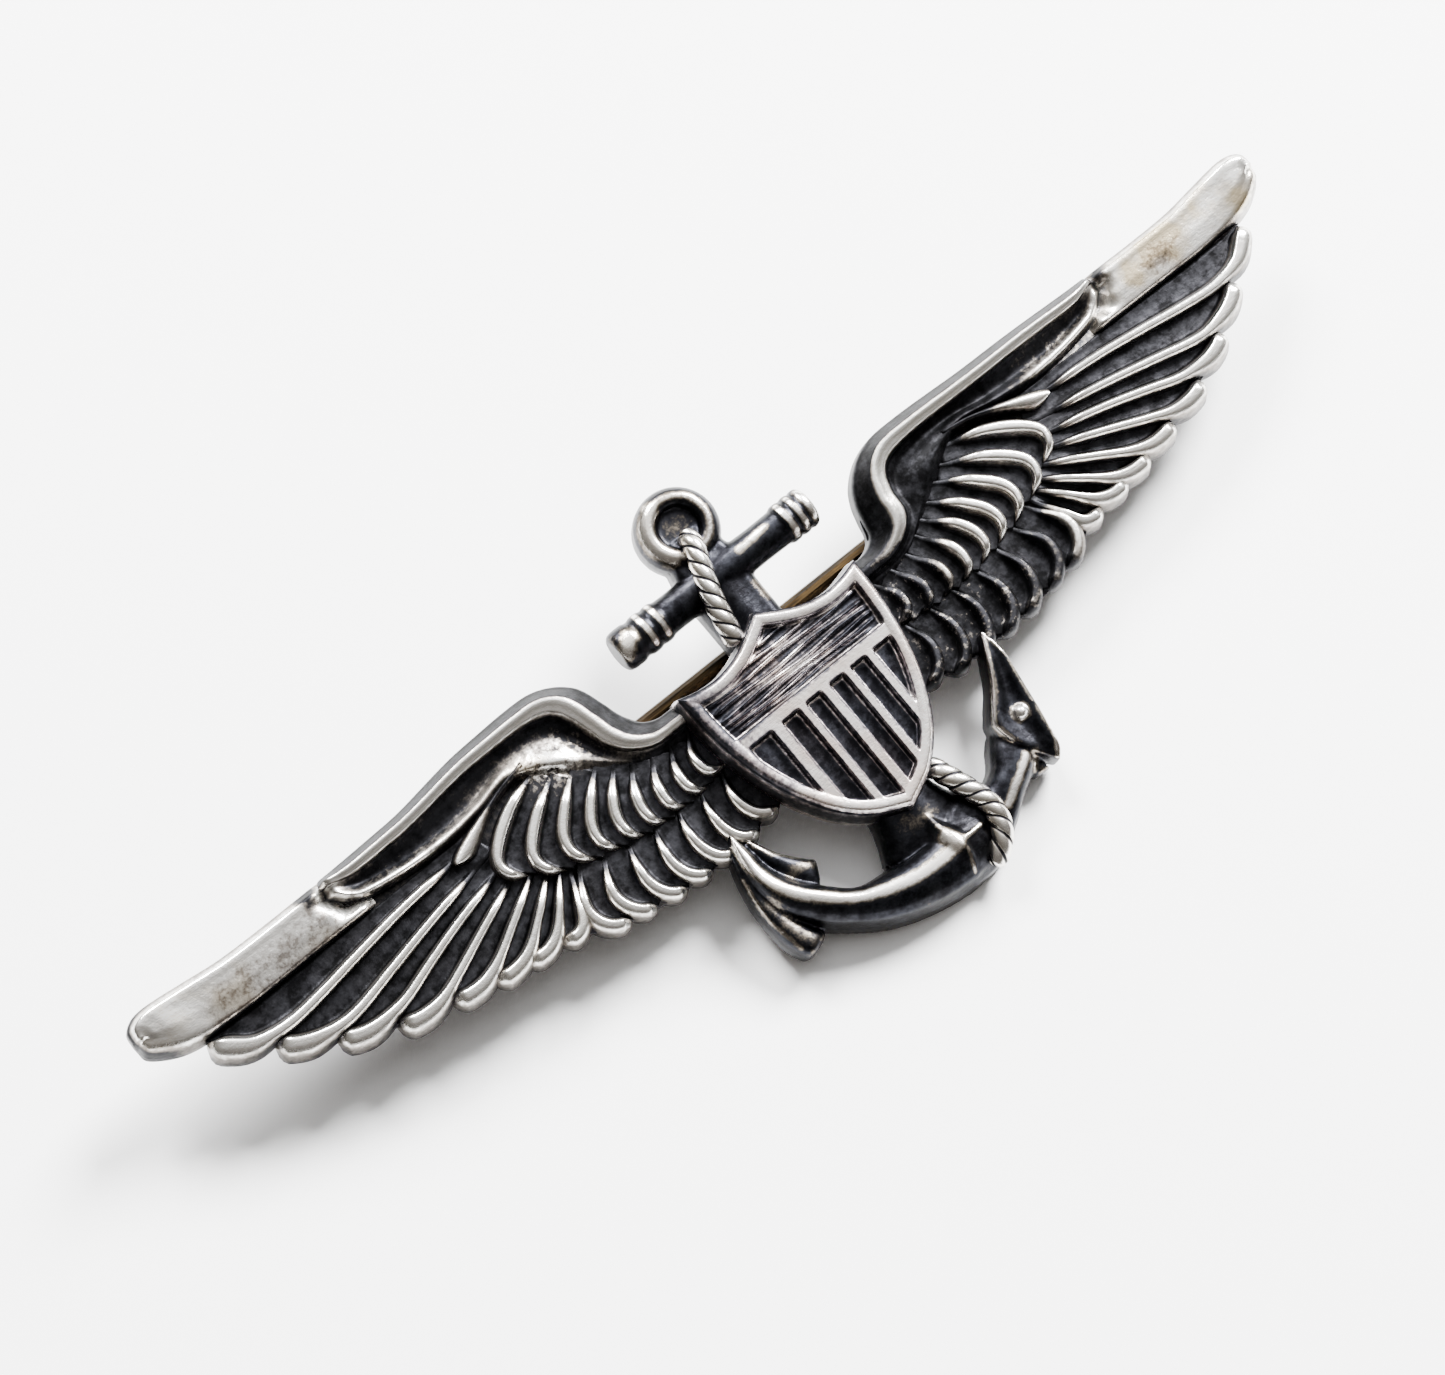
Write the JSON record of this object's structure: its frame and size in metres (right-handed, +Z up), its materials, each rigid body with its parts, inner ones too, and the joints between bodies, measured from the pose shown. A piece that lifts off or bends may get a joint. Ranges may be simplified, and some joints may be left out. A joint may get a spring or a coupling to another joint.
{
  "type": "pilot wings pin",
  "caption": "Feathered wings brooch with a shield over a roped anchor, and a hinged pin stem held by a roll-over catch on its back.",
  "frame": {"origin": "centre of the base of its bounding box as it lies face up on its catch, joint and crown", "axes": "+X from the left wing's tip to the right wing's, +Y towards the anchor's ring, +Z up; the badge is tilted about X so its crown touches the surface"},
  "size_m": [0.07, 0.0242, 0.0076],
  "materials": {
    "wing_silver": "struck sterling silver, ribs polished bright, hollows oxidised blue-black",
    "oxidised_silver": "oxidised sterling silver, worn bright on its ridges",
    "rope_silver": "twisted silver wire, rubbed bright on its strands",
    "shield_silver": "struck sterling silver, pale worn rim and oxidised fields",
    "finding_nickel_silver": "nickel silver findings, lightly tarnished",
    "stem_brass": "hard-drawn brass wire, browned with age"
  },
  "bodies": {
    "badge": {"wing_left": "wing_silver", "wing_right": "wing_silver", "anchor": "oxidised_silver", "rope_upper": "rope_silver", "rope_lower": "rope_silver", "shield": "shield_silver", "pin_joint": "finding_nickel_silver", "joint_rivet": "finding_nickel_silver", "catch_base": "finding_nickel_silver"},
    "stem": {"pin_stem": "stem_brass"},
    "catch": {"catch_rotor": "finding_nickel_silver"}
  },
  "joints": [
    {"name": "stem_hinge", "type": "hinge", "parent": "badge", "child": "stem", "pos_m": [0.013, 0.00484, 0.00168], "axis": [0, -0.9748, -0.2232], "range_deg": [0, 100]},
    {"name": "catch_turn", "type": "hinge", "parent": "badge", "child": "catch", "pos_m": [-0.0125, 0.00484, 0.00168], "axis": [-1, 0, 0], "range_deg": [0, 100]}
  ]
}
